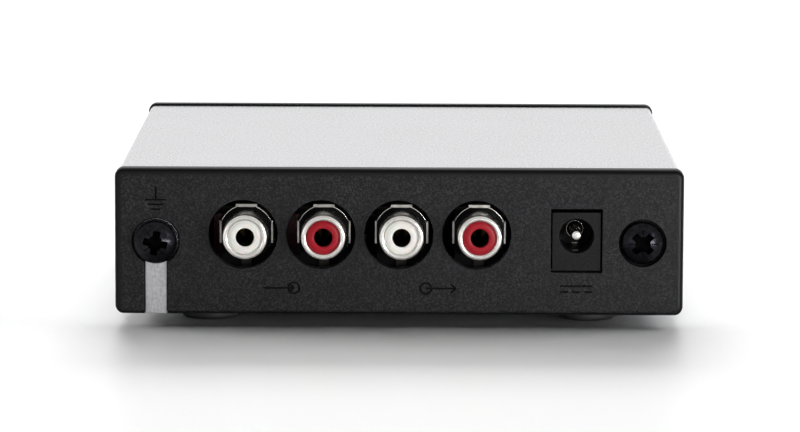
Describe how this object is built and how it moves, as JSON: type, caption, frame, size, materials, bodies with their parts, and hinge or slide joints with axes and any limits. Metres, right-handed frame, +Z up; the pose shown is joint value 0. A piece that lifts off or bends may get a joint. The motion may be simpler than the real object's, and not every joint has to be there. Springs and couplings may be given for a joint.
{
  "type": "phono preamplifier",
  "caption": "Small phono preamplifier: aluminium sleeve between moulded end caps, with phono jacks, power inlet and ground terminal at the rear, on rubber feet.",
  "frame": {"origin": "on the supporting surface, under the middle of the object's bounding box", "axes": "+Z up, -Y out of the rear face that carries the jacks, +X to the right for someone who looks at the rear face; the longest extent is along Y"},
  "size_m": [0.1052, 0.116, 0.0297],
  "materials": {
    "bead_blasted_aluminium": "bead blasted and clear anodised",
    "plain_aluminium": "rolled strip",
    "black_abs": "moulded with a fine spark texture",
    "black_polyester": "moulded, satin",
    "black_steel": "black zinc plate",
    "black_rubber": "moulded",
    "green_laminate": "solder mask",
    "nickel_plate": "nickel plated",
    "white_polymer": "moulded",
    "red_polymer": "moulded",
    "plain_brass": "bare",
    "chip_epoxy": "moulded",
    "film_box": "moulded",
    "can_sleeve": "shrink sleeve",
    "resistor_lacquer": "lacquered",
    "ferrite": "sintered",
    "clear_epoxy": "cast"
  },
  "bodies": {
    "case": {"sleeve": "bead_blasted_aluminium", "rear_cap": "black_abs", "front_cap": "black_abs", "cap_screws": "black_steel", "foot_rear_left": "black_rubber", "foot_rear_right": "black_rubber", "foot_front_left": "black_rubber", "foot_front_right": "black_rubber", "ground_strap": "plain_aluminium", "main_board": "green_laminate", "input_left_shell": "nickel_plate", "input_left_insulator": "white_polymer", "input_left_contact": "plain_brass", "input_left_body": "black_polyester", "input_right_shell": "nickel_plate", "input_right_insulator": "red_polymer", "input_right_contact": "plain_brass", "input_right_body": "black_polyester", "output_left_shell": "nickel_plate", "output_left_insulator": "white_polymer", "output_left_contact": "plain_brass", "output_left_body": "black_polyester", "output_right_shell": "nickel_plate", "output_right_insulator": "red_polymer", "output_right_contact": "plain_brass", "output_right_body": "black_polyester", "inlet_body": "black_polyester", "inlet_pin": "nickel_plate", "inlet_leaf_terminal": "nickel_plate", "inlet_switch_contact": "nickel_plate", "input_opamp": "chip_epoxy", "output_opamp": "chip_epoxy", "film_capacitors": "film_box", "signal_capacitors": "can_sleeve", "reservoir_capacitors": "can_sleeve", "resistors": "resistor_lacquer", "voltage_regulator": "chip_epoxy", "protection_diode": "chip_epoxy", "power_inductor": "ferrite", "power_led": "clear_epoxy", "led_leads": "nickel_plate"},
    "ground_clamp": {"ground_washer": "black_steel"},
    "ground_screw": {"ground_screw": "black_steel", "ground_thread": "black_steel"},
    "inlet_contact": {"inlet_leaf": "nickel_plate"}
  },
  "joints": [
    {"name": "ground_clamp_slide", "type": "slide", "parent": "case", "child": "ground_clamp", "axis": [0, -1, 0], "range_m": [0, 0.0035]},
    {"name": "ground_screw_turn", "type": "hinge", "parent": "ground_clamp", "child": "ground_screw", "pos_m": [-0.045, -0.0536, 0.0161], "axis": [0, -1, 0], "range_deg": [0, 1800]},
    {"name": "inlet_leaf_press", "type": "hinge", "parent": "case", "child": "inlet_contact", "pos_m": [0.0328, -0.0413, 0.0144], "axis": [1, 0, 0], "range_deg": [0, 3], "stiffness_Nm_per_rad": 0.05, "springref_deg": -1.15}
  ],
  "couplings": [
    {"joint": "ground_screw_turn", "follows": "ground_clamp_slide", "rad_per_m": 8976}
  ]
}
